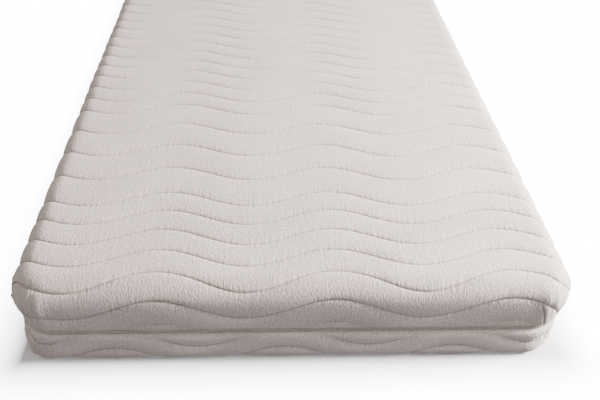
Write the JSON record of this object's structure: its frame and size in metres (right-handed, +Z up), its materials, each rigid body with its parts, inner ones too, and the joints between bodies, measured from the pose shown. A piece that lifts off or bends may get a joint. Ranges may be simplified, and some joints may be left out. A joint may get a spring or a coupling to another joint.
{
  "type": "pressure relief mattress",
  "caption": "Single-bed pressure relief mattress: layered foam core with firm side bolsters and a softer heel zone, in a wave-quilted stretch-knit cover that unzips all round the side.",
  "frame": {"origin": "middle of the underside, on the surface that the mattress lies on", "axes": "+Z up, +Y towards the head end, +X across the width towards the side with the zip slider"},
  "size_m": [0.9, 2, 0.16],
  "materials": {
    "cover_knit": "cream crepe stretch knit, quilted in waves",
    "cover_wadding": "white fibre wadding",
    "cover_backing": "thin non-woven backing",
    "seam_fabric": "sewn fabric allowance",
    "zip_tape": "woven zip tape",
    "zip_coil": "nylon coil teeth",
    "zip_metal": "satin die-cast metal",
    "zip_ends": "moulded plastic",
    "sleeve_fabric": "thin knitted stockinette",
    "visco_foam": "open-cell viscoelastic foam",
    "support_foam": "open-cell resilient foam",
    "firm_foam": "firm open-cell foam",
    "soft_foam": "soft open-cell foam"
  },
  "bodies": {
    "lower_cover": {"lower_cover_knit": "cover_knit", "lower_cover_wadding": "cover_wadding", "lower_cover_backing": "cover_backing", "lower_corner_seams": "seam_fabric", "lower_zip_tape": "zip_tape", "lower_zip_coil": "zip_coil", "lower_zip_stop": "zip_ends", "zip_retainer_box": "zip_ends"},
    "core": {"core_sleeve": "sleeve_fabric", "base_layer": "firm_foam", "left_bolster": "firm_foam", "right_bolster": "firm_foam", "support_layer": "support_foam", "heel_insert": "soft_foam", "comfort_layer": "visco_foam"},
    "upper_cover": {"upper_cover_knit": "cover_knit", "upper_cover_wadding": "cover_wadding", "upper_cover_backing": "cover_backing", "upper_corner_seams": "seam_fabric", "upper_zip_tape": "zip_tape", "upper_zip_coil": "zip_coil", "upper_zip_stop": "zip_ends", "zip_insert_pin": "zip_ends"},
    "slider": {"zip_slider": "zip_metal"},
    "pull": {"zip_pull": "zip_metal"}
  },
  "joints": [
    {"name": "core_lift", "type": "slide", "parent": "lower_cover", "child": "core", "axis": [0, 0, 1], "range_m": [0, 0.2]},
    {"name": "cover_lift", "type": "slide", "parent": "core", "child": "upper_cover", "axis": [0, 0, 1], "range_m": [0, 0.25]},
    {"name": "slider_travel", "type": "slide", "parent": "lower_cover", "child": "slider", "axis": [0, -1, 0], "range_m": [0, 1.815]},
    {"name": "pull_swing", "type": "hinge", "parent": "slider", "child": "pull", "pos_m": [0.44625, 0.9, 0.062], "axis": [0, 0, 1], "range_deg": [0, 180]}
  ]
}
